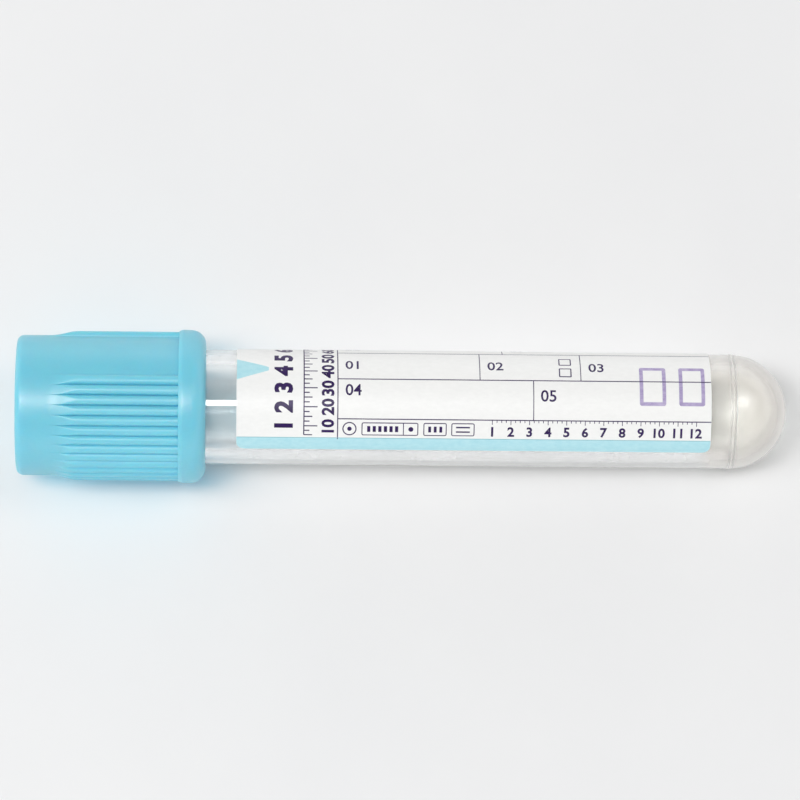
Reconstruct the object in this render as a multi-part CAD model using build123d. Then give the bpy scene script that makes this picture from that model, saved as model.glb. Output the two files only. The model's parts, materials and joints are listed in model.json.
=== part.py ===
from build123d import *
import math
import os

# Double-walled blood collection tube, 13 x 75 mm class, with a ribbed push-on closure.
# It lies on its side as it comes to rest: the closure's collar and the round bottom's bead touch Z = 0.
# The closure points towards -X and the round bottom towards +X.
#
# Every piece is drawn about the tube's own axis, where s is the distance from the closure's top face,
# and is then laid down on the surface.  All sizes are in millimetres.

# ---- overall -------------------------------------------------------------------------------------
OVERALL = 83.0            # closure top face to the tip of the round bottom
TUBE_LENGTH = 75.0        # outer tube, rim to tip
RIM_S = OVERALL - TUBE_LENGTH   # the outer tube's rim

# ---- outer tube ----------------------------------------------------------------------------------
OUTER_R = 6.15            # outside radius
OUTER_WALL = 0.70
OUTER_BORE_R = OUTER_R - OUTER_WALL
DOME_S = OVERALL - OUTER_R      # centre of the hemispherical bottom
MOUTH_R = 5.98            # the mouth is relieved under the closure's skirt
MOUTH_END_S = 20.3
BARREL_START_S = 20.5
BEAD_HEIGHT = 0.05        # witness bead where the mould's round bottom meets its barrel
BEAD_HALF = 0.28
GATE_R = 0.9              # flat gate scar at the tip
RIM_ROUND = 0.2

# ---- inner tube ----------------------------------------------------------------------------------
LINER_R = 5.40            # outside radius: 0.05 clear of the outer tube's bore
LINER_BORE_R = 4.60       # at the mouth
LINER_FOOT_BORE_R = 4.45  # at the bottom: moulding draft
LINER_RIM_S = RIM_S + 0.60
LINER_DRAFT_S = 22.0      # the bore is parallel above this, for the stopper

# ---- stopper -------------------------------------------------------------------------------------
STOPPER_TOP_S = 2.80
STOPPER_HEAD_R = 5.88
STOPPER_FLANGE_R = 6.35
STOPPER_FLANGE_S = 6.45
STOPPER_SEAT_S = RIM_S - 0.05   # underside of the flange, just clear of the rim
STOPPER_SEAL_R = LINER_BORE_R - 0.03
STOPPER_WAIST_R = 4.38
STOPPER_END_S = 19.4
STOPPER_NOSE_R = 3.5
STOPPER_CUP_R = 2.3       # hollow underside
STOPPER_CUP_DEPTH = 5.5
STOPPER_DISH_R = 3.2      # thinned target on top
STOPPER_DISH_DEPTH = 0.45

# ---- shield (closure cap) ------------------------------------------------------------------------
BAND_R = 7.55             # smooth band at the top
BAND_END_S = 3.40
RIB_R = 8.05              # rib crests
RIB_FULL_S = 6.90         # the ribs reach full height here
RIB_EASE = 0.42           # how far the ramp's S leans, as a share of its length
RIB_ROOT_R = 7.52         # bottoms of the grooves
RIB_COUNT = 15            # in each of the two groups
PANEL_DEG = 54.6          # each of the two smooth panels between the groups
PANEL_R = 7.52
COLLAR_S = 17.40
COLLAR_START_R = 8.15
COLLAR_R = 8.25
COLLAR_CREST_S = 18.35
LAND_START_S = 17.85      # a narrow land round the collar lies flat on the surface
LAND_END_S = 18.75
SHIELD_END_S = 20.30
SHIELD_LIP_R = 6.62       # the collar's rounded end runs in to this radius
WELL_R = 3.50             # needle well in the top
WELL_ROUND = 0.40
TOP_ROUND = 0.75
CHAMBER_R = 5.90
FLANGE_GROOVE_R = 6.40
SKIRT_R = 6.45
SNAP_R = 6.27             # bead that keeps the stopper's flange in

# ---- label ---------------------------------------------------------------------------------------
LABEL_START_S = 23.6
LABEL_END_S = 74.4
LABEL_THICK = 0.09
LABEL_WRAP_DEG = 292.0
LABEL_EDGE_DEG = 28.7     # its front edge, up from -Y
LABEL_CORNER_R = 0.9

# ---- additive ------------------------------------------------------------------------------------
ADDITIVE_ML = 0.35

# ---- angles about the axis, from -Y up through +Z ------------------------------------------------
RIB_GROUP_DEG = 36.7      # middle of one rib group; the other is opposite

# ---- resting pose --------------------------------------------------------------------------------
LABEL_R = OUTER_R + LABEL_THICK
TILT = math.atan((COLLAR_R - OUTER_R - BEAD_HEIGHT) / (DOME_S - COLLAR_CREST_S))

os.makedirs("parts", exist_ok=True)


def at(radius, s):
    return (radius, s)


def lathe(build):
    """Turns a closed profile, drawn with X as the radius and Y as s, about the s axis."""
    with BuildPart() as p:
        with BuildSketch(Plane(origin=(0, 0, 0), x_dir=(1, 0, 0), z_dir=(0, -1, 0))):
            with BuildLine():
                build()
            make_face()
        revolve(axis=Axis.Z)
    return p.part


def polar(radius, deg):
    """A point across the axis: deg runs from -Y up through +Z once the part is laid down."""
    a = math.radians(90.0 - deg)
    return (radius * math.cos(a), radius * math.sin(a))


# ---- outer tube: one moulding with a rounded rim, a round bottom and a bead at the mould's joint ---
def outer_profile():
    inner_tip = DOME_S + OUTER_BORE_R
    gate_s = DOME_S + math.sqrt(OUTER_R**2 - GATE_R**2)
    a = math.radians(45)
    bead_lo = DOME_S - BEAD_HALF
    # the round bottom starts from the bead's far foot
    foot = math.asin(BEAD_HALF / OUTER_R)
    foot_pt = at(OUTER_R * math.cos(foot), DOME_S + OUTER_R * math.sin(foot))
    mid = 0.5 * (foot + math.acos(GATE_R / OUTER_R))
    Polyline(
        at(OUTER_BORE_R, DOME_S),
        at(OUTER_BORE_R, RIM_S + RIM_ROUND),
        at(OUTER_BORE_R + RIM_ROUND * 0.3, RIM_S + RIM_ROUND * 0.3),
        at(OUTER_BORE_R + RIM_ROUND, RIM_S),
        at(MOUTH_R - RIM_ROUND, RIM_S),
        at(MOUTH_R - RIM_ROUND * 0.3, RIM_S + RIM_ROUND * 0.3),
        at(MOUTH_R, RIM_S + RIM_ROUND),
        at(MOUTH_R, MOUTH_END_S),
        at(OUTER_R, BARREL_START_S),
        at(OUTER_R, bead_lo),
    )
    ThreePointArc(at(OUTER_R, bead_lo), at(OUTER_R + BEAD_HEIGHT, DOME_S), foot_pt)
    ThreePointArc(
        foot_pt,
        at(OUTER_R * math.cos(mid), DOME_S + OUTER_R * math.sin(mid)),
        at(GATE_R, gate_s),
    )
    Polyline(at(GATE_R, gate_s), at(0, gate_s), at(0, inner_tip))
    ThreePointArc(
        at(0, inner_tip),
        at(OUTER_BORE_R * math.cos(a), DOME_S + OUTER_BORE_R * math.sin(a)),
        at(OUTER_BORE_R, DOME_S),
    )


# ---- inner tube: its rim sits a little below the outer one, and its bore has draft ----------------
def liner_profile():
    a = math.radians(45)
    r = LINER_FOOT_BORE_R
    Polyline(
        at(LINER_BORE_R, LINER_DRAFT_S),
        at(LINER_BORE_R, LINER_RIM_S + 0.2),
        at(LINER_BORE_R + 0.15, LINER_RIM_S),
        at(LINER_R - 0.1, LINER_RIM_S),
        at(LINER_R, LINER_RIM_S + 0.1),
        at(LINER_R, DOME_S),
    )
    ThreePointArc(
        at(LINER_R, DOME_S),
        at(LINER_R * math.cos(a), DOME_S + LINER_R * math.sin(a)),
        at(0, DOME_S + LINER_R),
    )
    Line(at(0, DOME_S + LINER_R), at(0, DOME_S + r))
    ThreePointArc(
        at(0, DOME_S + r), at(r * math.cos(a), DOME_S + r * math.sin(a)), at(r, DOME_S)
    )
    Line(at(r, DOME_S), at(LINER_BORE_R, LINER_DRAFT_S))


def liner_cavity_profile():
    a = math.radians(45)
    r = LINER_FOOT_BORE_R
    Polyline(
        at(0, DOME_S + r),
        at(0, LINER_DRAFT_S - 1.0),
        at(LINER_BORE_R, LINER_DRAFT_S - 1.0),
        at(LINER_BORE_R, LINER_DRAFT_S),
        at(r, DOME_S),
    )
    ThreePointArc(
        at(r, DOME_S), at(r * math.cos(a), DOME_S + r * math.sin(a)), at(0, DOME_S + r)
    )


# ---- stopper: head, flange, two sealing rings, hollow nose ----------------------------------------
def stopper_profile():
    top, end = STOPPER_TOP_S, STOPPER_END_S
    Polyline(
        at(0, top + STOPPER_DISH_DEPTH),
        at(STOPPER_DISH_R - 0.5, top + STOPPER_DISH_DEPTH),
        at(STOPPER_DISH_R, top),
        at(STOPPER_HEAD_R - 0.3, top),
        at(STOPPER_HEAD_R, top + 0.3),
        at(STOPPER_HEAD_R, STOPPER_FLANGE_S),
        at(STOPPER_FLANGE_R, STOPPER_FLANGE_S),
        at(STOPPER_FLANGE_R, STOPPER_SEAT_S),
        at(STOPPER_SEAL_R + 0.5, STOPPER_SEAT_S),
        at(STOPPER_WAIST_R, STOPPER_SEAT_S + 0.5),
        at(STOPPER_WAIST_R, 10.0),
        at(STOPPER_SEAL_R, 10.4),
        at(STOPPER_SEAL_R, 11.8),
        at(STOPPER_WAIST_R, 12.2),
        at(STOPPER_WAIST_R, 14.2),
        at(STOPPER_SEAL_R, 14.6),
        at(STOPPER_SEAL_R, 16.4),
        at(STOPPER_NOSE_R + 0.4, end - 0.9),
        at(STOPPER_NOSE_R, end - 0.2),
        at(STOPPER_NOSE_R - 0.25, end),
        at(STOPPER_CUP_R + 0.2, end),
        at(STOPPER_CUP_R, end - 0.3),
        at(STOPPER_CUP_R - 0.2, end - STOPPER_CUP_DEPTH + 0.8),
        at(STOPPER_CUP_R - 0.9, end - STOPPER_CUP_DEPTH),
        at(0, end - STOPPER_CUP_DEPTH),
        close=True,
    )


# ---- shield: turned envelope, then the grooves and panels are taken out of it ---------------------
def shield_profile():
    run = RIB_FULL_S - BAND_END_S
    k = TOP_ROUND * (1 - math.sqrt(0.5))
    # top face, with the rounded outer corner
    Line(at(WELL_R + WELL_ROUND, 0), at(BAND_R - TOP_ROUND, 0))
    ThreePointArc(at(BAND_R - TOP_ROUND, 0), at(BAND_R - k, k), at(BAND_R, TOP_ROUND))
    Line(at(BAND_R, TOP_ROUND), at(BAND_R, BAND_END_S))
    # S-shaped ramp from the band up to the rib crests
    Bezier(
        at(BAND_R, BAND_END_S),
        at(BAND_R, BAND_END_S + RIB_EASE * run),
        at(RIB_R, RIB_FULL_S - RIB_EASE * run),
        at(RIB_R, RIB_FULL_S),
    )
    Line(at(RIB_R, RIB_FULL_S), at(RIB_R, COLLAR_S))
    # collar: a small step, a slight swell, the land, and a rounded end
    land_start_r = COLLAR_R + (COLLAR_CREST_S - LAND_START_S) * math.tan(TILT)
    land_end_r = COLLAR_R - (LAND_END_S - COLLAR_CREST_S) * math.tan(TILT)
    Polyline(
        at(RIB_R, COLLAR_S),
        at(COLLAR_START_R, COLLAR_S),
        at(land_start_r, LAND_START_S),
        at(land_end_r, LAND_END_S),
    )
    EllipticalCenterArc(
        center=at(SHIELD_LIP_R, LAND_END_S),
        x_radius=land_end_r - SHIELD_LIP_R,
        y_radius=SHIELD_END_S - LAND_END_S,
        start_angle=0,
        arc_size=90,
    )
    Polyline(
        at(SHIELD_LIP_R, SHIELD_END_S),
        at(SKIRT_R + 0.06, SHIELD_END_S),
        at(SKIRT_R, SHIELD_END_S - 0.12),
        at(SKIRT_R, STOPPER_SEAT_S + 1.0),
        at(SNAP_R, STOPPER_SEAT_S + 0.55),
        at(SNAP_R, STOPPER_SEAT_S + 0.15),
        at(FLANGE_GROOVE_R, STOPPER_SEAT_S),
        at(FLANGE_GROOVE_R, STOPPER_FLANGE_S),
        at(CHAMBER_R, STOPPER_FLANGE_S),
        at(CHAMBER_R, STOPPER_TOP_S),
        at(WELL_R, STOPPER_TOP_S),
        at(WELL_R, WELL_ROUND),
    )
    w = WELL_ROUND * (1 - math.sqrt(0.5))
    ThreePointArc(
        at(WELL_R, WELL_ROUND), at(WELL_R + w, w), at(WELL_R + WELL_ROUND, 0)
    )


def rib_ring():
    """The space round the ribs: everything outside the ribbed section, from the ramp to the collar."""
    group = (360.0 - 2 * PANEL_DEG) / 2
    pitch = group / RIB_COUNT
    with BuildSketch(Plane.XY.offset(BAND_END_S)) as ring:
        Circle(RIB_R + 1.0)
        with BuildLine():
            for g in range(2):
                start = RIB_GROUP_DEG + 180.0 * g - group / 2
                last = polar(RIB_ROOT_R, start + group)
                for i in range(RIB_COUNT):
                    a = start + i * pitch
                    p2 = last if i == RIB_COUNT - 1 else polar(RIB_ROOT_R, a + pitch)
                    ThreePointArc(polar(RIB_ROOT_R, a), polar(RIB_R, a + pitch / 2), p2)
                # across the panel to the next group
                nxt = start + group + PANEL_DEG
                ThreePointArc(last, polar(PANEL_R, start + group + PANEL_DEG / 2), polar(PANEL_R, nxt))
        make_face(mode=Mode.SUBTRACT)
    return extrude(ring.sketch, amount=COLLAR_S - BAND_END_S)


# ---- label: part of a thin sleeve, with rounded corners -------------------------------------------
def label_solid():
    length = LABEL_END_S - LABEL_START_S
    sleeve = Cylinder(LABEL_R, length, align=(Align.CENTER, Align.CENTER, Align.MIN))
    sleeve -= Cylinder(OUTER_R, length, align=(Align.CENTER, Align.CENTER, Align.MIN))
    sleeve = Pos(0, 0, LABEL_START_S) * sleeve
    gap = 360.0 - LABEL_WRAP_DEG
    far = 20.0
    a0, a1 = LABEL_EDGE_DEG, LABEL_EDGE_DEG - gap
    wedge = Polyline((0, 0), polar(far, a0), polar(far / math.cos(math.radians(gap / 2)), a0 - gap / 2), polar(far, a1), close=True)
    sleeve -= Pos(0, 0, LABEL_START_S - 1) * extrude(make_face(wedge.edges()), amount=length + 2)
    # rounded corners
    step = math.degrees(LABEL_CORNER_R / LABEL_R)
    for edge, sign in ((a0, 1), (a1, -1)):
        for s, up in ((LABEL_START_S, 1), (LABEL_END_S, -1)):
            deg = edge + sign * step
            normal = Vector(*polar(1.0, deg), 0)
            plane = Plane(origin=Vector(0, 0, s + up * LABEL_CORNER_R) + normal * (OUTER_R - 0.8), x_dir=(0, 0, 1), z_dir=normal)
            # the corner square points towards the label's corner: -up along s, and towards the edge
            side = plane.y_dir.dot(Vector(*polar(1.0, edge), 0))
            cy = 1 if side > 0 else -1
            with BuildSketch(plane) as sk:
                with Locations((-up * LABEL_CORNER_R, cy * LABEL_CORNER_R)):
                    Rectangle(2 * LABEL_CORNER_R, 2 * LABEL_CORNER_R)
                Circle(LABEL_CORNER_R, mode=Mode.SUBTRACT)
                with Locations((-up * -LABEL_CORNER_R, 0)):
                    Rectangle(2 * LABEL_CORNER_R, 8 * LABEL_CORNER_R, mode=Mode.SUBTRACT)
                with Locations((0, -cy * LABEL_CORNER_R)):
                    Rectangle(8 * LABEL_CORNER_R, 2 * LABEL_CORNER_R, mode=Mode.SUBTRACT)
            sleeve -= extrude(sk.sketch, amount=2.0)
    return sleeve


# ---- laying the pieces down ----------------------------------------------------------------------
AXIS_DIR = (math.cos(TILT), 0, -math.sin(TILT))
UP_DIR = (math.sin(TILT), 0, math.cos(TILT))
lay = Plane(origin=(0, 0, 0), x_dir=UP_DIR, z_dir=AXIS_DIR).location

upright = {
    "outer_tube": lathe(outer_profile),
    "inner_tube": lathe(liner_profile),
    "stopper": lathe(stopper_profile),
    "shield": lathe(shield_profile) - rib_ring(),
    "label": label_solid(),
}
cavity = lay * lathe(liner_cavity_profile)
laid = {name: lay * solid for name, solid in upright.items()}

# origin: middle of the part's box, at the surface it lies on
low = Vector(*(min(getattr(p.bounding_box().min, c) for p in laid.values()) for c in "XYZ"))
high = Vector(*(max(getattr(p.bounding_box().max, c) for p in laid.values()) for c in "XYZ"))
shift = Pos(-(low.X + high.X) / 2, -(low.Y + high.Y) / 2, -low.Z)
laid = {name: shift * solid for name, solid in laid.items()}
cavity = shift * cavity
box = cavity.bounding_box()

# ---- additive: fills the bore up to a level surface ------------------------------------------------
def pool(level):
    block = Pos((box.min.X + box.max.X) / 2, 0, box.min.Z - 1) * Box(
        box.size.X + 4, 20, level - box.min.Z + 1, align=(Align.CENTER, Align.CENTER, Align.MIN)
    )
    return cavity & block


lo, hi = box.min.Z + 0.3, box.min.Z + 5.0
for _ in range(18):
    mid_level = (lo + hi) / 2
    if pool(mid_level).volume < ADDITIVE_ML * 1000.0:
        lo = mid_level
    else:
        hi = mid_level
level = (lo + hi) / 2
laid["additive"] = pool(level)

for name, solid in laid.items():
    found = solid.solids()
    export_step(found[0] if len(found) == 1 else Compound(children=found), f"parts/{name}.step")
    b = solid.bounding_box()
    print(
        f"{name:12s} solids {len(found)} volume {solid.volume:9.2f} mm3 "
        f"x {b.min.X:8.3f} {b.max.X:8.3f} y {b.min.Y:7.3f} {b.max.Y:7.3f} z {b.min.Z:7.3f} {b.max.Z:7.3f}"
    )

origin = shift * Pos(0, 0, 0)
print("tilt deg", math.degrees(TILT), "axis start (s = 0)", tuple(origin.position), "liquid level z", level)
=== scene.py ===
"""Looks for the blood collection tube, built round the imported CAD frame.

Pieces are turned about the tube's own axis: a place on one is a radius, an angle from the front (-Y) up
through the top, and a distance s in millimetres from the closure's top face.
"""

import json
import math

import bmesh
import bpy
from mathutils import Matrix, Vector


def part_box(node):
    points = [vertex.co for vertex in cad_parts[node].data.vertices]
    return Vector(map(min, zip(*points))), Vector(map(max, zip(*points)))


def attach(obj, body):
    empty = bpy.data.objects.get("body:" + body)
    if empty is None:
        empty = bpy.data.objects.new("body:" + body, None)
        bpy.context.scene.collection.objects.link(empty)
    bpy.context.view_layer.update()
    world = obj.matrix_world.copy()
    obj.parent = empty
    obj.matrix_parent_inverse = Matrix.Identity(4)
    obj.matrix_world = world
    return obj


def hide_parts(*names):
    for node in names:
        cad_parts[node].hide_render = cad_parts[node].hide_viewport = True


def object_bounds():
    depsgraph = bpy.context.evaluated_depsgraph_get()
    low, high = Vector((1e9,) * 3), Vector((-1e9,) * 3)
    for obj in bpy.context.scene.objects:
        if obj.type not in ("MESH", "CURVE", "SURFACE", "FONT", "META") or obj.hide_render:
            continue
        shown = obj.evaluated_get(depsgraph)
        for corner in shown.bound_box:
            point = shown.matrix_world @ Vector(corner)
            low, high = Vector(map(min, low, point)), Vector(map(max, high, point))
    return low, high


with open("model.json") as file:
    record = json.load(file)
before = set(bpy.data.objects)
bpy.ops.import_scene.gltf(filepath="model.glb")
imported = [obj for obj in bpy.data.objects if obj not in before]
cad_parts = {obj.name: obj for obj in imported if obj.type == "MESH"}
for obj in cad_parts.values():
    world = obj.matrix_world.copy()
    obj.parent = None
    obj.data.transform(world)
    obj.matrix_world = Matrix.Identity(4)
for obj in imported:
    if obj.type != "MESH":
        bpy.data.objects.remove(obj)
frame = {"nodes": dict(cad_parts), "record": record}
CAD_LO, CAD_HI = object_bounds()

MM = 0.001

# ---- the tube's axis, from the needle well's place in the record -----------------------------------
well = next(m for m in frame["record"]["mounts"] if m["name"] == "needle_well")
AX = -Vector(well["axis"]).normalized()
UP = (Vector((0, 0, 1)) - AX * AX.z).normalized()
FR = Vector((0, -1, 0))
ORIGIN = Vector(well["pos_m"]) - AX * 1.6 * MM

# ---- sizes in millimetres, as in the CAD model -----------------------------------------------------
OVERALL = 83.0
RIM_S = 8.0
OUTER_R, OUTER_BORE_R, DOME_S = 6.15, 5.45, 76.85
BARREL_S = 20.5
BEAD_H, BEAD_HALF, GATE_R = 0.05, 0.28, 0.9
LINER_R, LINER_BORE_R, LINER_FOOT_R = 5.46, 4.60, 4.45  # a hair into the outer tube's wall, so that no air shows between them
LINER_RIM_S, LINER_DRAFT_S = 8.6, 22.0
STOPPER_TOP_S, FLANGE_S, SEAT_S = 2.80, 6.45, 7.95
BAND_R, BAND_END_S = 7.55, 3.40
RIB_R, RIB_FULL_S, RIB_ROOT_R, RIB_EASE = 8.05, 6.90, 7.52, 0.42
RIB_COUNT, PANEL_DEG, PANEL_R, RIB_GROUP_DEG = 15, 54.6, 7.535, 36.7
COLLAR_S, COLLAR_START_R, COLLAR_R, CREST_S, SHIELD_END_S, LIP_R = 17.40, 8.15, 8.25, 18.35, 20.30, 6.62
LAND_S0, LAND_S1 = 17.85, 18.75
LAND_SLOPE = (COLLAR_R - OUTER_R - BEAD_H) / (DOME_S - CREST_S)
WELL_R, WELL_ROUND, TOP_ROUND = 3.50, 0.40, 0.75
CHAMBER_R, GROOVE_R, SKIRT_R, SNAP_R = 5.90, 6.40, 6.45, 6.27
LABEL_S0, LABEL_S1, LABEL_R = 23.6, 74.4, 6.24
LABEL_EDGE, LABEL_WRAP, LABEL_CORNER = 28.7, 292.0, 0.9


def place(r, deg, s):
    a = math.radians(deg)
    return ORIGIN + AX * (s * MM) + (FR * math.cos(a) + UP * math.sin(a)) * (r * MM)


# =====================================================================================================
# mesh helpers
# =====================================================================================================
def finish_mesh(name, verts, faces, sharp=32.0, body="tube", replaces=(), merge=1e-7):
    me = bpy.data.meshes.new(name)
    me.from_pydata(verts, [], faces)
    bm = bmesh.new()
    bm.from_mesh(me)
    bmesh.ops.remove_doubles(bm, verts=bm.verts, dist=merge)
    bmesh.ops.dissolve_degenerate(bm, edges=bm.edges, dist=1e-8)
    bmesh.ops.recalc_face_normals(bm, faces=bm.faces)
    for f in bm.faces:
        f.smooth = True
    bm.to_mesh(me)
    bm.free()
    me.set_sharp_from_angle(angle=math.radians(sharp))
    ob = bpy.data.objects.new(name, me)
    bpy.context.scene.collection.objects.link(ob)
    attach(ob, body)
    if replaces:
        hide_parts(*replaces)
    return ob


def turned(profile, angles, radius=None, closed=True):
    """Verts and faces of a profile of (r, s, tag) turned through the given angles. A point on the axis is one vertex."""
    verts, rings = [], []
    for p in profile:
        r, s = p[0], p[1]
        tag = p[2] if len(p) > 2 else None
        if r < 1e-6:
            rings.append([len(verts)] * len(angles))
            verts.append(place(0, 0, s))
            continue
        ring = []
        for a in angles:
            ring.append(len(verts))
            verts.append(place(radius(r, a) if (radius and tag) else r, a, s))
        rings.append(ring)
    faces = []
    n, m = len(angles), len(rings)
    for i in range(m if closed else m - 1):
        a, b = rings[i], rings[(i + 1) % m]
        for j in range(n):
            k = (j + 1) % n
            q = [a[j], a[k], b[k], b[j]]
            q = [v for x, v in enumerate(q) if v not in q[:x]]
            if len(q) > 2:
                faces.append(q)
    return verts, faces


def arc(cr, cs, r, a0, a1, n, rs=None):
    """Points of an arc in the (r, s) plane. 0 degrees is away from the axis, 90 towards the round bottom."""
    out = []
    for i in range(n + 1):
        a = math.radians(a0 + (a1 - a0) * i / n)
        out.append((cr + r * math.cos(a), cs + (rs if rs is not None else r) * math.sin(a)))
    return out


def steps(a, b, n):
    return [a + (b - a) * i / n for i in range(n + 1)]


def even(n):
    return [360.0 * i / n for i in range(n)]


# =====================================================================================================
# closure shield: turned body with two groups of moulded ribs and two smooth panels
# =====================================================================================================
GROUP = (360.0 - 2 * PANEL_DEG) / 2
PITCH = GROUP / RIB_COUNT


def smin(a, b, k):
    h = max(k - abs(a - b), 0.0) / k
    return min(a, b) - h * h * k * 0.25


def smax(a, b, k):
    return -smin(-a, -b, k)


def ribbed(deg):
    """Radius across the ribs: each is an arc through its two roots and its crest, and the roots are a little filled."""
    for g in range(2):
        d = (deg - RIB_GROUP_DEG - 180.0 * g + 180.0) % 360.0 - 180.0
        if abs(d) <= GROUP / 2 + 1e-6:
            f = (d + GROUP / 2) / PITCH
            f -= math.floor(min(f, RIB_COUNT - 1e-6))
            h, a = math.radians(PITCH / 2), math.radians((f - 0.5) * PITCH)
            half, rise = RIB_ROOT_R * math.sin(h), RIB_R - RIB_ROOT_R * math.cos(h)
            rho = (half**2 + rise**2) / (2 * rise)
            c = RIB_R - rho
            r = c * math.cos(a) + math.sqrt(max(rho**2 - (c * math.sin(a)) ** 2, 0.0))
            return smax(r, RIB_ROOT_R + 0.03, 0.07)
    return PANEL_R


def shield_angles():
    out = []
    cuts = [0.0, 0.012, 0.035, 0.08, 0.15, 0.24, 0.34, 0.44, 0.5, 0.56, 0.66, 0.76, 0.85, 0.92, 0.965, 0.988]
    for g in range(2):
        start = RIB_GROUP_DEG + 180.0 * g - GROUP / 2
        for i in range(RIB_COUNT):
            out += [start + (i + c) * PITCH for c in cuts]
        end = start + GROUP
        out += [end]
        out += steps(end + 0.35, end + PANEL_DEG - 0.35, 22)
    return out


def outer_shield(r, a):
    return smin(r, ribbed(a), 0.05)


def shield_profile():
    p = [(WELL_R, s) for s in steps(STOPPER_TOP_S, WELL_ROUND, 3)]
    p += arc(WELL_R + WELL_ROUND, WELL_ROUND, WELL_ROUND, 180, 270, 6)[1:]
    p += [(r, 0.0) for r in steps(4.6, BAND_R - TOP_ROUND, 3)]
    p += arc(BAND_R - TOP_ROUND, TOP_ROUND, TOP_ROUND, 270, 360, 9)[1:]
    p += [(BAND_R, s) for s in steps(1.4, 3.2, 3)]
    run = RIB_FULL_S - BAND_END_S
    n = 44
    for i in range(n + 1):
        t = i / n
        b = [(1 - t) ** 3, 3 * t * (1 - t) ** 2, 3 * t * t * (1 - t), t**3]
        r = b[0] * BAND_R + b[1] * BAND_R + b[2] * RIB_R + b[3] * RIB_R
        s = b[0] * BAND_END_S + b[1] * (BAND_END_S + RIB_EASE * run) + b[2] * (RIB_FULL_S - RIB_EASE * run) + b[3] * RIB_FULL_S
        p.append((r, s, True))
    p += [(RIB_R, s, True) for s in (7.4, 9.5, 12.0, 14.5, 16.6, COLLAR_S - 0.12)]
    p += [(RIB_R + 0.004, COLLAR_S - 0.04, True), (RIB_R + 0.012, COLLAR_S, True)]
    # collar: softened leading edge, slight swell, the land it lies on, rounded end
    r0, r1 = COLLAR_R + (CREST_S - LAND_S0) * LAND_SLOPE, COLLAR_R - (LAND_S1 - CREST_S) * LAND_SLOPE
    p += [(COLLAR_START_R - 0.06, COLLAR_S), (COLLAR_START_R - 0.018, COLLAR_S + 0.018), (COLLAR_START_R, COLLAR_S + 0.06)]
    p += [(COLLAR_START_R + (r0 - COLLAR_START_R) * 0.75, LAND_S0 - 0.11), (r0 - 0.008, LAND_S0 - 0.03), (r0 - 0.003, LAND_S0 + 0.04)]
    p += [(COLLAR_R - 0.001, CREST_S)]
    p += arc(LIP_R, LAND_S1, r1 - LIP_R, 0, 90, 20, rs=SHIELD_END_S - LAND_S1)
    p += [(SKIRT_R + 0.1, SHIELD_END_S - 0.01), (SKIRT_R + 0.03, SHIELD_END_S - 0.06), (SKIRT_R, SHIELD_END_S - 0.16)]
    p += [(SKIRT_R, s) for s in (17.0, 13.0, SEAT_S + 1.0)]
    p += [(SNAP_R, SEAT_S + 0.55), (SNAP_R, SEAT_S + 0.15), (GROOVE_R, SEAT_S), (GROOVE_R, FLANGE_S)]
    p += [(CHAMBER_R, FLANGE_S), (CHAMBER_R, STOPPER_TOP_S)]
    return p


v, f = turned(shield_profile(), shield_angles(), radius=outer_shield)
shield = finish_mesh("closure_shield", v, f, sharp=38, body="closure", replaces=["shield"])


# =====================================================================================================
# outer tube: clear wall, rounded rim, mould bead and gate scar
# =====================================================================================================
def outer_profile():
    gate_s = DOME_S + math.sqrt(OUTER_R**2 - GATE_R**2)
    p = [(0.0, gate_s + 0.0), (0.45, gate_s), (GATE_R - 0.05, gate_s), (GATE_R, gate_s - 0.012)]
    a_gate = math.degrees(math.acos(GATE_R / OUTER_R)) - 0.6
    foot = math.degrees(math.asin(BEAD_HALF / OUTER_R))
    p += arc(0, DOME_S, OUTER_R, a_gate, foot, 44)
    n = 14
    for i in range(1, n):
        t = 1 - 2 * i / n
        side = min((1 - abs(t)) / 0.42, 1.0)
        p.append((OUTER_R + BEAD_H * side * side * (3 - 2 * side) - (0.006 * max(t, 0)), DOME_S + BEAD_HALF * t))
    p += [(OUTER_R, s) for s in (DOME_S - BEAD_HALF, DOME_S - BEAD_HALF - 0.05, DOME_S - BEAD_HALF - 0.15, 76.0, 74.0, 72.0, 66.0, 58.0, 50.0, 42.0, 34.0, 28.0, 24.0, BARREL_S)]
    p += [(OUTER_R, 18.0), (OUTER_R, 14.0)]
    p += arc(OUTER_R - 0.2, RIM_S + 0.2, 0.2, 0, -90, 5)
    p += arc(OUTER_BORE_R + 0.2, RIM_S + 0.2, 0.2, -90, -180, 5)
    p += [(OUTER_BORE_R, s) for s in (14.0, 20.0, 28.0, 40.0, 52.0, 64.0, 72.0, DOME_S - 0.2, DOME_S - 0.05)]
    p += arc(0, DOME_S, OUTER_BORE_R, 0, 88.5, 40)
    p += [(0.0, DOME_S + OUTER_BORE_R)]
    return p


v, f = turned(outer_profile(), even(288), closed=False)
outer = finish_mesh("outer_tube_wall", v, f, sharp=30, replaces=["outer_tube"])


# =====================================================================================================
# inner tube: translucent liner with a draft in its bore
# =====================================================================================================
def bore(s):
    """The liner's bore radius at s, before its round bottom."""
    if s <= LINER_DRAFT_S:
        return LINER_BORE_R
    return LINER_BORE_R + (LINER_FOOT_R - LINER_BORE_R) * (s - LINER_DRAFT_S) / (DOME_S - LINER_DRAFT_S)


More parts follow.
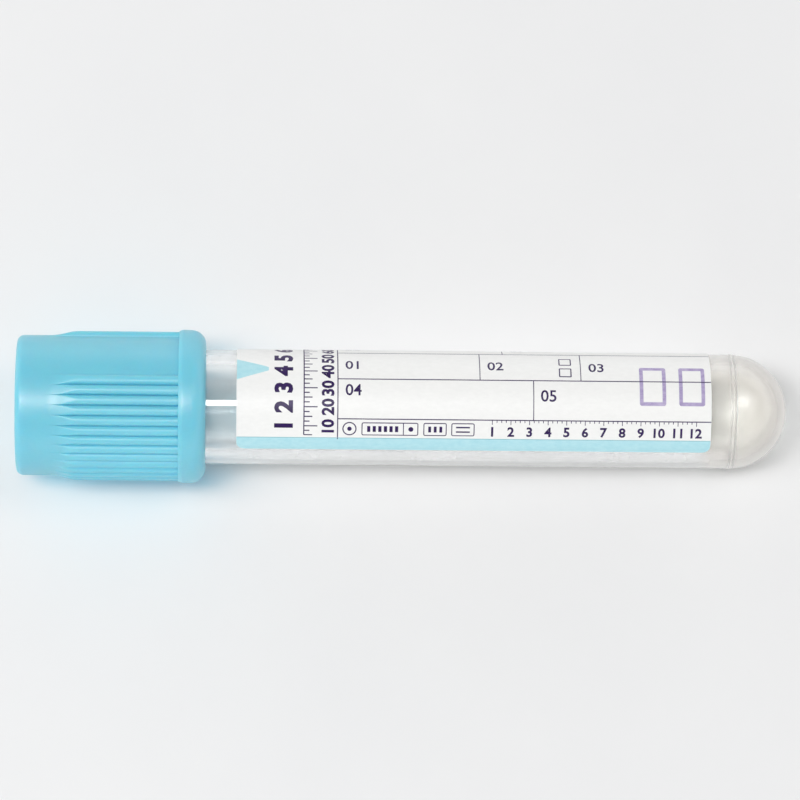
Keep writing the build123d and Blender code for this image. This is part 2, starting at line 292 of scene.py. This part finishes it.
def liner_profile():
    p = [(0.0, DOME_S + LINER_R)]
    p += arc(0, DOME_S, LINER_R, 88.5, 0, 44)
    p += [(LINER_R, s) for s in (DOME_S - 0.05, DOME_S - 0.2, 72.0, 60.0, 48.0, 36.0, 30.0, 28.6, 28.4)]
    # faint mould witness ring
    p += [(LINER_R, 28.34), (LINER_R - 0.007, 28.26), (LINER_R - 0.007, 28.18), (LINER_R, 28.1)]
    p += [(LINER_R, s) for s in (28.04, 27.9, 27.0, 22.0, 14.0)]
    p += arc(LINER_R - 0.1, LINER_RIM_S + 0.1, 0.1, 0, -90, 4)
    p += [(LINER_BORE_R + 0.15, LINER_RIM_S), (LINER_BORE_R + 0.05, LINER_RIM_S + 0.06), (LINER_BORE_R, LINER_RIM_S + 0.2)]
    p += [(bore(s), s) for s in (14.0, 19.0, LINER_DRAFT_S, 30.0, 40.0, 50.0, 60.0, 70.0)]
    p += arc(0, DOME_S, LINER_FOOT_R, 0, 88.5, 40)
    p += [(0.0, DOME_S + LINER_FOOT_R)]
    return p


v, f = turned(liner_profile(), even(256), closed=False)
liner = finish_mesh("inner_tube_wall", v, f, sharp=30, replaces=["inner_tube"])


# =====================================================================================================
# additive: a shallow pool with a level surface, wetting the liner
# =====================================================================================================
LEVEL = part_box("additive")[1].z
OVERLAP = 0.03  # runs a little into the wall, so that no air shows between them


def level_u(s):
    return (LEVEL - ORIGIN.z - s * MM * AX.z) / UP.z / MM


def pool():
    def wall(s):
        r = bore(s) if s <= DOME_S else math.sqrt(max(LINER_FOOT_R**2 - (s - DOME_S) ** 2, 0.0))
        return r + OVERLAP

    s0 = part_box("additive")[0]
    lo, hi = 20.2, 40.0
    for _ in range(60):
        mid = (lo + hi) / 2
        if wall(mid) + level_u(mid) < 0:
            lo = mid
        else:
            hi = mid
    start = hi + 1e-4 if wall(20.2) + level_u(20.2) < 0 else 20.2
    lo, hi = DOME_S, DOME_S + LINER_FOOT_R
    for _ in range(60):
        mid = (lo + hi) / 2
        if wall(mid) + level_u(mid) > 0:
            lo = mid
        else:
            hi = mid
    end = lo - 1e-4
    ss = [start + (DOME_S - start) * (i / 70.0) ** 1.6 for i in range(71)]
    ss += [end - (end - DOME_S) * (1 - i / 36.0) ** 2.0 for i in range(1, 37)]
    verts, rings = [], []
    na, nc = 44, 14
    for s in ss:
        r, u = wall(s), level_u(s)
        half = math.degrees(math.acos(max(-1.0, min(1.0, -u / r))))
        ring = []
        for i in range(na + 1):
            a = -90.0 - half + 2 * half * i / na
            ring.append(len(verts))
            verts.append(place(r, a, s))
        x = r * math.sin(math.radians(half))
        for i in range(1, nc):
            f0 = x - 2 * x * i / nc
            ring.append(len(verts))
            verts.append(ORIGIN + AX * (s * MM) + FR * (f0 * MM) + UP * (u * MM))
        rings.append(ring)
    faces = []
    for a, b in zip(rings, rings[1:]):
        n = len(a)
        for j in range(n):
            k = (j + 1) % n
            faces.append([a[j], a[k], b[k], b[j]])
    faces.append(list(reversed(rings[0])))
    faces.append(rings[-1])
    return verts, faces


v, f = pool()
additive = finish_mesh("additive_pool", v, f, sharp=40, replaces=["additive"], merge=2e-6)


# =====================================================================================================
# label: a thin wrapped sheet with rounded corners
# =====================================================================================================
def label_mesh():
    arc_mm = math.radians(1.0) * LABEL_R
    total = LABEL_WRAP * arc_mm
    near = [LABEL_CORNER * (1 - math.cos(math.radians(90 * i / 10))) for i in range(11)]
    rest = steps(LABEL_CORNER, total - LABEL_CORNER, 290)[1:-1]
    places = near + rest + [total - x for x in reversed(near)]
    cols = []
    for x in places:
        d = min(x, total - x)
        inset = LABEL_CORNER - math.sqrt(max(LABEL_CORNER**2 - (LABEL_CORNER - d) ** 2, 0)) if d < LABEL_CORNER else 0.0
        cols.append((LABEL_EDGE + x / arc_mm, LABEL_S0 + inset, LABEL_S1 - inset))
    rows = 26
    verts, faces = [], []
    for r in (LABEL_R, OUTER_R + 0.004):
        for deg, a, b in cols:
            for i in range(rows + 1):
                verts.append(place(r, deg, a + (b - a) * i / rows))
    n, m = len(cols), rows + 1
    back = n * m
    for i in range(n - 1):
        for j in range(rows):
            q = [i * m + j, i * m + j + 1, (i + 1) * m + j + 1, (i + 1) * m + j]
            faces.append(q)
            faces.append([x + back for x in reversed(q)])
        for j, flip in ((0, False), (rows, True)):
            q = [i * m + j, (i + 1) * m + j, (i + 1) * m + j + back, i * m + j + back]
            faces.append(q if flip else q[::-1])
    for i, flip in ((0, False), (n - 1, True)):
        for j in range(rows):
            q = [i * m + j, i * m + j + 1, i * m + j + 1 + back, i * m + j + back]
            faces.append(q if flip else q[::-1])
    return verts, faces


v, f = label_mesh()
label = finish_mesh("wrap_label", v, f, sharp=40, replaces=["label"])


# =====================================================================================================
# print: thin ink shapes on the label.  Drawn flat in (s, arc) millimetres and wrapped round the label
# =====================================================================================================
ARC = math.radians(1.0) * LABEL_R  # millimetres of arc for each degree
DRAW0, DRAW1 = 23.8, 74.9  # ends of the sheet that the print is drawn on, which is fitted to the label


class Ink:
    """Flat shapes in one ink. x runs along the tube in s, y round it in millimetres of arc from angle 0."""

    def __init__(self):
        self.bm = bmesh.new()

    def poly(self, pts):
        vs = [self.bm.verts.new((x, y, 0)) for x, y in pts]
        self.bm.faces.new(vs)

    def rect(self, s0, s1, d0, d1):
        self.poly([(s0, d0 * ARC), (s1, d0 * ARC), (s1, d1 * ARC), (s0, d1 * ARC)])

    def hline(self, s0, s1, deg, w):
        self.rect(s0, s1, deg - w / 2 / ARC, deg + w / 2 / ARC)

    def vline(self, s, d0, d1, w):
        self.rect(s - w / 2, s + w / 2, d0, d1)

    def loop(self, pts, w):
        """A closed stroke of width w along pts, drawn counter-clockwise, inside the outline."""
        n = len(pts)
        inner = []
        for i in range(n):
            a, b, c = Vector(pts[i - 1]), Vector(pts[i]), Vector(pts[(i + 1) % n])
            t0, t1 = (b - a).normalized(), (c - b).normalized()
            n0, n1 = Vector((-t0.y, t0.x)), Vector((-t1.y, t1.x))
            m = (n0 + n1).normalized()
            inner.append(b + m * (w / max(m.dot(n1), 0.3)))
        o = [self.bm.verts.new((p[0], p[1], 0)) for p in pts]
        q = [self.bm.verts.new((p[0], p[1], 0)) for p in inner]
        for i in range(n):
            k = (i + 1) % n
            self.bm.faces.new([o[i], o[k], q[k], q[i]])

    def box(self, s0, s1, d0, d1, w, r=0.2, n=5):
        x0, x1, y0, y1 = s0, s1, d0 * ARC, d1 * ARC
        pts = []
        for cx, cy, a0 in ((x1 - r, y0 + r, -90), (x1 - r, y1 - r, 0), (x0 + r, y1 - r, 90), (x0 + r, y0 + r, 180)):
            for i in range(n + 1):
                a = math.radians(a0 + 90 * i / n)
                pts.append((cx + r * math.cos(a), cy + r * math.sin(a)))
        self.loop(pts, w)

    def ring(self, s, deg, r, w, n=40):
        self.loop([(s + r * math.cos(2 * math.pi * i / n), deg * ARC + r * math.sin(2 * math.pi * i / n)) for i in range(n)], w)

    def disc(self, s, deg, r, n=20):
        self.poly([(s + r * math.cos(2 * math.pi * i / n), deg * ARC + r * math.sin(2 * math.pi * i / n)) for i in range(n)])

    def number(self, body, s, deg, height, bold=0.0, turn=False, align="CENTER"):
        """Plain numerals from Blender's own font. With turn, they read up round the tube instead of along it."""
        cu = bpy.data.curves.new("numerals", "FONT")
        cu.body = body
        cu.size = 1.0
        cu.offset = bold
        cu.resolution_u = 3
        ob = bpy.data.objects.new("numerals", cu)
        bpy.context.scene.collection.objects.link(ob)
        dg = bpy.context.evaluated_depsgraph_get()
        me = bpy.data.meshes.new_from_object(ob.evaluated_get(dg))
        bpy.data.objects.remove(ob)
        bpy.data.curves.remove(cu)
        xs = [q.co.x for q in me.vertices]
        ys = [q.co.y for q in me.vertices]
        k = height / (max(ys) - min(ys))
        x0 = {"CENTER": (max(xs) + min(xs)) / 2, "LEFT": min(xs), "RIGHT": max(xs)}[align]
        y0 = (max(ys) + min(ys)) / 2
        made = []
        for q in me.vertices:
            x, y = (q.co.x - x0) * k, (q.co.y - y0) * k
            if turn:
                x, y = -y, x
            made.append(self.bm.verts.new((s + x, deg * ARC + y, 0)))
        for poly in me.polygons:
            self.bm.faces.new([made[i] for i in poly.vertices])
        bpy.data.meshes.remove(me)

    def wrap(self, name, lift, mat, depth=0.012, step=0.16):
        bm = self.bm
        bmesh.ops.remove_doubles(bm, verts=bm.verts, dist=1e-6)
        bmesh.ops.dissolve_degenerate(bm, edges=bm.edges, dist=1e-6)
        ys = [q.co.y for q in bm.verts]
        y = math.ceil(min(ys) / step) * step
        while y < max(ys):
            near = [e for e in bm.edges if min(e.verts[0].co.y, e.verts[1].co.y) < y < max(e.verts[0].co.y, e.verts[1].co.y)]
            if near:
                faces = {q for e in near for q in e.link_faces}
                verts = {q for e in near for q in e.verts}
                bmesh.ops.bisect_plane(bm, geom=list(verts) + near + list(faces), dist=1e-7, plane_co=(0, y, 0), plane_no=(0, 1, 0))
            y += step
        bmesh.ops.recalc_face_normals(bm, faces=bm.faces)
        bm.verts.index_update()
        n = len(bm.verts)
        k = (LABEL_S1 - LABEL_S0) / (DRAW1 - DRAW0)
        flat = [(q.co.y / ARC, LABEL_S0 + (q.co.x - DRAW0) * k) for q in bm.verts]
        verts = [place(LABEL_R + lift, d, s) for d, s in flat]
        verts += [place(LABEL_R - depth, d, s) for d, s in flat]
        faces = []
        for q in bm.faces:
            ids = [w.index for w in q.verts]
            up = q.normal.z > 0
            faces.append(ids if up else ids[::-1])
            faces.append([i + n for i in (ids[::-1] if up else ids)])
        for e in bm.edges:
            if len(e.link_faces) == 1:
                a, b = e.verts[0].index, e.verts[1].index
                faces.append([a, b, b + n, a + n])
        bm.free()
        ob = finish_mesh(name, verts, faces, sharp=40, merge=1e-9)
        ob.data.materials.append(mat)
        return ob


# =====================================================================================================
# materials
# =====================================================================================================
def srgb(r, g, b):
    def lin(c):
        c /= 255.0
        return c / 12.92 if c <= 0.04045 else ((c + 0.055) / 1.055) ** 2.4

    return (lin(r), lin(g), lin(b), 1.0)


class Mat:
    def __init__(self, name):
        self.m = bpy.data.materials.new(name)
        self.m.use_nodes = True
        self.nt = self.m.node_tree
        self.p = next(n for n in self.nt.nodes if n.type == "BSDF_PRINCIPLED")
        self.out = next(n for n in self.nt.nodes if n.type == "OUTPUT_MATERIAL")
        self.co = self.nt.nodes.new("ShaderNodeTexCoord")
        self.pos = self.co.outputs["Object"]

    def node(self, kind, **inputs):
        n = self.nt.nodes.new(kind)
        for k, v in inputs.items():
            if k in n.inputs:
                self.put(n.inputs[k], v)
            else:
                setattr(n, k, v)
        return n

    def put(self, socket, v):
        if isinstance(v, bpy.types.NodeSocket):
            self.nt.links.new(v, socket)
        else:
            socket.default_value = v

    def mapped(self, scale):
        n = self.nt.nodes.new("ShaderNodeMapping")
        self.put(n.inputs["Vector"], self.pos)
        n.inputs["Scale"].default_value = scale
        return n.outputs["Vector"]

    def noise(self, scale, detail=3.0, rough=0.55, vector=None, distortion=0.0):
        n = self.nt.nodes.new("ShaderNodeTexNoise")
        self.put(n.inputs["Vector"], vector or self.pos)
        n.inputs["Scale"].default_value = scale
        n.inputs["Detail"].default_value = detail
        n.inputs["Roughness"].default_value = rough
        n.inputs["Distortion"].default_value = distortion
        return n.outputs["Fac"]

    def ramp(self, fac, stops, interpolation="LINEAR"):
        n = self.nt.nodes.new("ShaderNodeValToRGB")
        self.put(n.inputs["Fac"], fac)
        cr = n.color_ramp
        cr.interpolation = interpolation
        while len(cr.elements) < len(stops):
            cr.elements.new(0.5)
        for e, (at, col) in zip(cr.elements, stops):
            e.position = at
            e.color = col if isinstance(col, tuple) else (col, col, col, 1.0)
        return n.outputs["Color"]

    def span(self, fac, a, b, lo=0.0, hi=1.0):
        n = self.nt.nodes.new("ShaderNodeMapRange")
        self.put(n.inputs["Value"], fac)
        for k, x in (("From Min", lo), ("From Max", hi), ("To Min", a), ("To Max", b)):
            n.inputs[k].default_value = x
        return n.outputs["Result"]

    def facing(self):
        """0 where the surface is seen square on, 1 where the eye looks along it."""
        n = self.nt.nodes.new("ShaderNodeLayerWeight")
        n.inputs["Blend"].default_value = 0.5
        return n.outputs["Facing"]

    def math(self, op, a, b=0.0):
        n = self.nt.nodes.new("ShaderNodeMath")
        n.operation = op
        self.put(n.inputs[0], a)
        self.put(n.inputs[1], b)
        return n.outputs[0]

    def mix(self, fac, a, b, kind="MIX"):
        n = self.nt.nodes.new("ShaderNodeMix")
        n.data_type = "RGBA"
        n.blend_type = kind
        self.put(n.inputs["Factor"], fac)
        self.put(n.inputs["A"] if False else n.inputs[6], a)
        self.put(n.inputs[7], b)
        return n.outputs[2]

    def bump(self, height, strength, distance, normal=None):
        n = self.nt.nodes.new("ShaderNodeBump")
        n.inputs["Strength"].default_value = strength
        n.inputs["Distance"].default_value = distance
        self.put(n.inputs["Height"], height)
        if normal is not None:
            self.put(n.inputs["Normal"], normal)
        return n.outputs["Normal"]

    def set(self, **kw):
        for k, v in kw.items():
            self.put(self.p.inputs[k.replace("_", " ")], v)
        return self

    def lets_light_through(self, colour, grazing=None):
        """Shadow rays pass straight through, dimmed by colour; every other ray sees the surface itself.
        A curved clear wall throws light aside where it is crossed at a slant: grazing is its colour there."""
        path = self.nt.nodes.new("ShaderNodeLightPath")
        clear = self.nt.nodes.new("ShaderNodeBsdfTransparent")
        clear.inputs["Color"].default_value = colour
        if grazing:
            slant = self.nt.nodes.new("ShaderNodeLayerWeight")
            slant.inputs["Blend"].default_value = 0.5
            self.put(clear.inputs["Color"], self.mix(self.span(slant.outputs["Facing"], 0.0, 1.0, 0.30, 0.62), colour, grazing))
        both = self.nt.nodes.new("ShaderNodeMixShader")
        self.nt.links.new(path.outputs["Is Shadow Ray"], both.inputs[0])
        self.nt.links.new(self.p.outputs[0], both.inputs[1])
        self.nt.links.new(clear.outputs[0], both.inputs[2])
        self.nt.links.new(both.outputs[0], self.out.inputs["Surface"])


def along(m):
    """Distance along the tube from its middle, 0 at the closure to 1 at the round bottom."""
    n = m.nt.nodes.new("ShaderNodeSeparateXYZ")
    m.put(n.inputs[0], m.pos)
    return m.span(n.outputs["X"], 0.0, 1.0, CAD_LO.x, CAD_HI.x)


def closure_material():
    m = Mat("closure_blue_plastic")
    cloud = m.noise(160, 3, 0.5)
    fine = m.noise(5200, 2, 0.5)
    flow = m.noise(900, 3, 0.55, vector=m.mapped((0.25, 1, 1)))
    colour = m.mix(m.span(cloud, 0.0, 1.0, 0.3, 0.7), (0.160, 0.564, 0.700, 1), (0.176, 0.590, 0.722, 1))
    colour = m.mix(m.span(fine, 0.0, 0.35, 0.35, 0.65), colour, (0.190, 0.610, 0.736, 1))
    normal = m.bump(fine, 0.16, 0.00003)
    normal = m.bump(flow, 0.10, 0.00006, normal)
    m.set(Base_Color=colour, Roughness=m.span(flow, 0.33, 0.42, 0.3, 0.7), Normal=normal)
    m.p.inputs["IOR"].default_value = 1.51
    m.p.inputs["Specular IOR Level"].default_value = 0.85
    m.p.inputs["Specular Tint"].default_value = (1.0, 0.80, 0.70, 1)
    m.p.inputs["Subsurface Weight"].default_value = 0.72
    m.p.inputs["Subsurface Radius"].default_value = (0.35, 1.1, 1.5)
    m.p.inputs["Subsurface Scale"].default_value = 0.001
    m.lets_light_through((0.08, 0.58, 0.71, 1))
    return m.m


def clear_material():
    m = Mat("clear_tube_plastic")
    drawn = m.noise(420, 3, 0.5, vector=m.mapped((0.06, 1, 1)))
    dust = m.noise(2600, 4, 0.6)
    s = along(m)
    dome = m.span(s, 0.0, 1.0, 0.900, 0.934)
    # painted shade: thin darker grey rings, one on each side of the bead at its edges, standing in for the shade lines
    # of the bead's slopes; they are also made rougher and less clear
    way = m.nt.nodes.new("ShaderNodeVectorMath")
    way.operation = "DOT_PRODUCT"
    m.put(way.inputs[0], m.pos)
    way.inputs[1].default_value = tuple(AX)
    off = m.math("ABSOLUTE", m.math("SUBTRACT", way.outputs["Value"], ORIGIN.dot(AX) + DOME_S * MM))
    off = m.math("ABSOLUTE", m.math("SUBTRACT", off, 0.78 * BEAD_HALF * MM))
    bead_edge_shade = m.span(off, 1.0, 0.0, 0.00003, 0.00012)
    clear = m.mix(m.span(dust, 0.0, 1.0, 0.55, 0.8), (0.988, 0.992, 0.992, 1), (0.972, 0.977, 0.978, 1))
    haze = m.span(s, 0.0, 1.0, 0.886, 0.900)  # the round bottom is hazy
    clear = m.mix(haze, clear, (0.97, 0.953, 0.93, 1))
    # the base colour turns grey along the painted shade rings at the bead's edges
    m.set(
        Base_Color=m.mix(bead_edge_shade, clear, (0.66, 0.65, 0.64, 1)),
        Roughness=m.math("ADD", m.span(dust, 0.015, 0.06, 0.45, 0.8), m.math("ADD", m.span(dome, 0.0, 0.20), m.span(bead_edge_shade, 0.0, 0.12))),
        Normal=m.bump(drawn, 0.10, 0.00008),
    )
    m.p.inputs["IOR"].default_value = 1.57
    cloudy = m.math("MULTIPLY", haze, m.span(m.facing(), 0.06, 0.56, 0.20, 0.80))
    cloudy = m.math("MAXIMUM", cloudy, m.span(m.facing(), 0.0, 0.50, 0.32, 0.78))
    m.put(m.p.inputs["Transmission Weight"], m.math("SUBTRACT", m.math("SUBTRACT", 1.0, cloudy), m.span(bead_edge_shade, 0.0, 0.22)))
    m.lets_light_through((0.95, 0.96, 0.96, 1), (0.52, 0.52, 0.515, 1))
    return m.m


def liner_material():
    m = Mat("milky_liner_plastic")
    s = along(m)
    cloud = m.noise(240, 4, 0.6)
    grain = m.noise(3800, 3, 0.6)
    milky = m.span(cloud, -0.04, 0.04, 0.3, 0.7)
    foot = m.span(s, 0.0, 1.0, 0.86, 0.985)
    m.set(
        Base_Color=m.mix(foot, (0.975, 0.978, 0.976, 1), (0.98, 0.955, 0.92, 1)),
        Roughness=m.math("ADD", m.span(foot, 0.07, 0.24), milky),
        Normal=m.bump(grain, 0.12, 0.00004),
    )
    w = m.math("SUBTRACT", m.span(foot, 0.96, 0.78), milky)
    m.put(m.p.inputs["Transmission Weight"], w)
    m.p.inputs["IOR"].default_value = 1.49
    m.lets_light_through((0.90, 0.91, 0.91, 1), (0.62, 0.62, 0.615, 1))
    return m.m


def liquid_material():
    m = Mat("clear_additive")
    ripple = m.noise(260, 2, 0.5)
    m.set(
        Base_Color=m.mix(m.span(ripple, 0.0, 1.0, 0.4, 0.6), (0.985, 0.99, 0.99, 1), (0.975, 0.982, 0.985, 1)),
        Normal=m.bump(ripple, 0.05, 0.00005),
    )
    m.p.inputs["Roughness"].default_value = 0.01
    m.p.inputs["IOR"].default_value = 1.333
    m.p.inputs["Transmission Weight"].default_value = 1.0
    m.lets_light_through((0.97, 0.98, 0.98, 1))
    return m.m


def rubber_material():
    m = Mat("stopper_blue_green_rubber")
    cloud = m.noise(380, 4, 0.6)
    grain = m.noise(6000, 3, 0.6)
    m.set(
        Base_Color=m.mix(m.span(cloud, 0.0, 1.0, 0.3, 0.7), (0.010, 0.20, 0.27, 1), (0.018, 0.25, 0.33, 1)),
        Roughness=m.span(grain, 0.42, 0.62, 0.35, 0.65),
        Normal=m.bump(grain, 0.3, 0.00003),
    )
    return m.m


def paper(name, a, b, rough=(0.34, 0.46)):
    """Printed label stock: a faint fibre mottle under a semi-gloss face."""
    m = Mat(name)
    fibre = m.noise(2400, 5, 0.65, vector=m.mapped((0.55, 1, 1)))
    mottle = m.noise(420, 3, 0.5)
    colour = m.mix(m.span(fibre, 0.0, 1.0, 0.35, 0.65), a, b)
    m.set(
        Base_Color=colour,
        Roughness=m.span(mottle, rough[0], rough[1], 0.3, 0.7),
        Normal=m.bump(fibre, 0.10, 0.00004),
    )
    m.p.inputs["IOR"].default_value = 1.46
    m.lets_light_through((0.45, 0.45, 0.44, 1))
    return m.m


def tint(c, k):
    return (c[0] * k, c[1] * k, c[2] * k, 1.0)


WHITE = (0.88, 0.88, 0.865, 1)
INK = srgb(38, 16, 70)
CYAN = srgb(168, 218, 228)

mat_shield = closure_material()
mat_clear = clear_material()
mat_liner = liner_material()
mat_liquid = liquid_material()
mat_rubber = rubber_material()
mat_label = paper("label_stock", WHITE, tint(WHITE, 0.965))
mat_ink = paper("print_purple", INK, tint(INK, 1.6), (0.3, 0.45))
mat_pale = paper("print_pale_purple", srgb(158, 144, 186), srgb(186, 174, 206), (0.3, 0.45))
mat_cyan = paper("print_light_blue", CYAN, srgb(182, 225, 233), (0.32, 0.45))
mat_edge = paper("print_edge_line", srgb(120, 178, 190), srgb(135, 188, 198), (0.32, 0.45))

shield.data.materials.append(mat_shield)
outer.data.materials.append(mat_clear)
liner.data.materials.append(mat_liner)
additive.data.materials.append(mat_liquid)
label.data.materials.append(mat_label)
stopper = frame["nodes"]["stopper"]
stopper.data.materials.clear()
stopper.data.materials.append(mat_rubber)

# =====================================================================================================
# the label's print
# =====================================================================================================
LINE = 0.11
BAND_TOP = 43.3
COL_S, ROW1, ROW2, ROW3 = 34.68, 145.0, 104.0, 63.4
RIGHT = DRAW1 - 0.02

blue = Ink()
e = 0.02
c = LABEL_CORNER
pts = []
y0, y1 = LABEL_EDGE * ARC + e, BAND_TOP * ARC
for cx, cy, a0 in ((DRAW1 - c, y0 - e + c, -90), (None, None, None), (DRAW0 + c, y0 - e + c, 180)):
    if cx is None:
        pts += [(DRAW1 - e, y1), (DRAW0 + e, y1)]
        continue
    for i in range(9):
        a = math.radians(a0 + 90 * i / 8)
        pts.append((cx + (c - e) * math.cos(a), cy + (c - e) * math.sin(a)))
blue.poly(pts)
# pointer on the label's left edge
blue.poly([(DRAW0 + e, 102.4 * ARC), (27.05, 112.6 * ARC), (27.25, 113.4 * ARC), (27.25, 117.2 * ARC), (27.05, 118.4 * ARC), (DRAW0 + e, 128.5 * ARC)])
blue.wrap("print_band", 0.004, mat_cyan)

edge = Ink()
edge.hline(DRAW0 + e, DRAW1 - e, BAND_TOP, 0.07)
edge.wrap("print_band_line", 0.007, mat_edge)

dark = Ink()
dark.vline(COL_S, BAND_TOP - 1.5, 236.0, LINE)
for d in (ROW1, ROW2, ROW3, 186.0, 227.0):
    dark.hline(COL_S - LINE / 2, RIGHT, d, LINE)
for s, a, b in ((49.97, ROW2, ROW1), (60.84, ROW2, ROW1), (55.73, ROW3, ROW2), (52.5, ROW1, 186.0)):
    dark.vline(s, a, b, LINE * 0.8)
# numbered fields
for body, s, d in (("01", 35.5, 122.0), ("02", 50.8, 122.0), ("03", 61.7, 121.0), ("04", 35.5, 92.5), ("05", 56.5, 88.0), ("06", 35.5, 166.0), ("07", 53.4, 166.0), ("08", 35.5, 206.5)):
    dark.number(body, s, d, 1.3, bold=0.012, align="LEFT")
# check boxes
for s, d in ((58.5, 129.5), (58.5, 114.0)):
    dark.box(s, s + 1.35, d - 5.6, d + 5.6, 0.12, r=0.1)
# scale round the tube: large numerals, tick marks, small numerals
for i in range(9):
    d = 56.0 + 19.0 * i
    dark.number(str(i + 1), 28.86, d, 2.02, bold=0.045, turn=True)
    dark.number(str(10 * (i + 1)), 33.62, d, 1.38, bold=0.035, turn=True)
i = 0
while 46.5 + 4.75 * i < 218.5:
    d = 46.5 + 4.75 * i
    dark.hline(31.05, 32.5 if i % 4 == 2 else 31.95 if i % 2 == 0 else 31.65, d, 0.12)
    i += 1
dark.vline(31.05, 46.5, 217.5, 0.12)
# bottom row: plain symbols and boxes, then a scale along the tube
dark.ring(35.95, 53.3, 0.76, 0.12)
dark.disc(35.95, 53.3, 0.24)
dark.box(37.25, 43.35, 46.4, 60.0, 0.10)
dark.vline(41.75, 46.4, 60.0, 0.09)
for i in range(6):
    dark.rect(37.85 + 0.6 * i, 37.85 + 0.6 * i + 0.34, 50.2, 56.3)
dark.disc(42.55, 53.2, 0.27)
dark.box(43.9, 46.4, 46.4, 60.0, 0.10)
for i in range(3):
    dark.rect(44.42 + 0.6 * i, 44.42 + 0.6 * i + 0.3, 50.2, 56.3)
dark.box(46.9, 49.4, 46.4, 60.0, 0.10)
dark.hline(47.4, 48.9, 55.6, 0.16)
dark.hline(47.4, 48.9, 50.9, 0.16)
for i in range(12):
    s = 51.3 + 2.0 * i
    dark.number(str(i + 1), s, 51.4, 1.12, bold=0.03)
for i in range(45):
    s = 51.3 + 0.5 * i
    dark.vline(s, ROW3 - (4.6 if i % 4 == 0 else 2.6), ROW3, 0.075)
dark.wrap("print_lines", 0.006, mat_ink)

pale = Ink()
for s0, s1 in ((67.15, 70.0), (71.4, 74.2)):
    pale.box(s0, s1, 79.0, 121.5, 0.4, r=0.25)
pale.wrap("print_stamp_boxes", 0.004, mat_pale)

# =====================================================================================================
# floor, light and camera
# =====================================================================================================
def floor():
    me = bpy.data.meshes.new("studio_floor")
    n, size = 24, 1.6
    verts = [(-size + 2 * size * i / n, -size + 2 * size * j / n, 0.0) for i in range(n + 1) for j in range(n + 1)]
    faces = [(i * (n + 1) + j, (i + 1) * (n + 1) + j, (i + 1) * (n + 1) + j + 1, i * (n + 1) + j + 1) for i in range(n) for j in range(n)]
    me.from_pydata(verts, [], faces)
    ob = bpy.data.objects.new("studio_floor", me)
    bpy.context.scene.collection.objects.link(ob)
    m = Mat("pale_floor")
    soft = m.noise(38, 4, 0.55)
    grain = m.noise(900, 3, 0.5)
    m.set(
        Base_Color=m.mix(m.span(soft, 0.0, 1.0, 0.3, 0.7), (0.825, 0.825, 0.828, 1), (0.845, 0.845, 0.845, 1)),
        Roughness=m.span(grain, 0.55, 0.7, 0.3, 0.7),
        Normal=m.bump(grain, 0.05, 0.0001),
    )
    m.p.inputs["Specular IOR Level"].default_value = 0.25
    me.materials.append(m.m)
    return ob


floor()

scene = bpy.context.scene
CENTRE = (CAD_LO + CAD_HI) / 2


def area(name, direction, distance, size_x, size_y, radiance, colour=(1, 1, 1)):
    li = bpy.data.lights.new(name, "AREA")
    li.shape = "RECTANGLE"
    li.size, li.size_y = size_x, size_y
    li.energy = radiance * math.pi * size_x * size_y
    li.color = colour
    ob = bpy.data.objects.new(name, li)
    d = Vector(direction).normalized()
    ob.location = CENTRE + d * distance
    side = Vector((0, 1, 0)).cross(d).normalized()  # the long side runs along X
    ob.rotation_euler = Matrix((side, d.cross(side), d)).transposed().to_euler()
    scene.collection.objects.link(ob)
    return ob


def aim(elevation, azimuth=0.0):
    """A direction: azimuth 0 is from the front (-Y), 90 from the right (+X)."""
    e0, a0 = math.radians(elevation), math.radians(azimuth)
    return (math.sin(a0) * math.cos(e0), -math.cos(a0) * math.cos(e0), math.sin(e0))


def tilted(x_deg, y_deg):
    """A direction x_deg from straight up towards +X and y_deg from straight up towards -Y."""
    return (math.tan(math.radians(x_deg)), -math.tan(math.radians(y_deg)), 1.0)


area("key_softbox", tilted(-12, 8.4), 0.8, 0.37, 0.16, 13.2)
area("right_softbox", tilted(29, -6), 0.8, 0.30, 0.26, 3.2)
area("left_softbox", tilted(-30, 6), 0.8, 0.50, 0.30, 4.2)

world = bpy.data.worlds.new("studio")
scene.world = world
world.use_nodes = True
bg = next(n for n in world.node_tree.nodes if n.type == "BACKGROUND")
bg.inputs["Color"].default_value = (0.985, 0.99, 1.0, 1)
# white walls round a table: bright near the horizon, dim overhead
way = world.node_tree.nodes.new("ShaderNodeTexCoord")
split = world.node_tree.nodes.new("ShaderNodeSeparateXYZ")
wall = world.node_tree.nodes.new("ShaderNodeMapRange")
wall.interpolation_type = "SMOOTHSTEP"
for key, value in (("From Min", 0.0), ("From Max", 0.60), ("To Min", 1.65), ("To Max", 0.19)):
    wall.inputs[key].default_value = value
world.node_tree.links.new(way.outputs["Generated"], split.inputs[0])
world.node_tree.links.new(split.outputs["Z"], wall.inputs["Value"])
world.node_tree.links.new(wall.outputs["Result"], bg.inputs["Strength"])

ELEVATION, DISTANCE, VIEW_WIDTH = 74.0, 0.53, 86.24 * MM
cam = bpy.data.cameras.new("camera")
cam.sensor_width = 36.0
cam.lens = 36.0 * DISTANCE / VIEW_WIDTH
cam.clip_start, cam.clip_end = 0.01, 20.0
cam_ob = bpy.data.objects.new("camera", cam)
scene.collection.objects.link(cam_ob)
back = Vector(aim(ELEVATION))
right = Vector((1, 0, 0))
upward = back.cross(right)
pixel = VIEW_WIDTH / 800.0
target = Vector((CENTRE.x, 0, CENTRE.z)) + right * (-1.0 * pixel) + upward * (6.2 * pixel)
cam_ob.location = target + back * DISTANCE
cam_ob.rotation_euler = (-back).to_track_quat("-Z", "Y").to_euler()
scene.camera = cam_ob

scene.view_settings.view_transform = "Standard"
scene.view_settings.look = "None"
cy = scene.cycles
cy.use_denoising = True
cy.max_bounces = 32
cy.transmission_bounces = 32
cy.glossy_bounces = 8
cy.diffuse_bounces = 6
cy.transparent_max_bounces = 32
cy.sample_clamp_indirect = 8.0
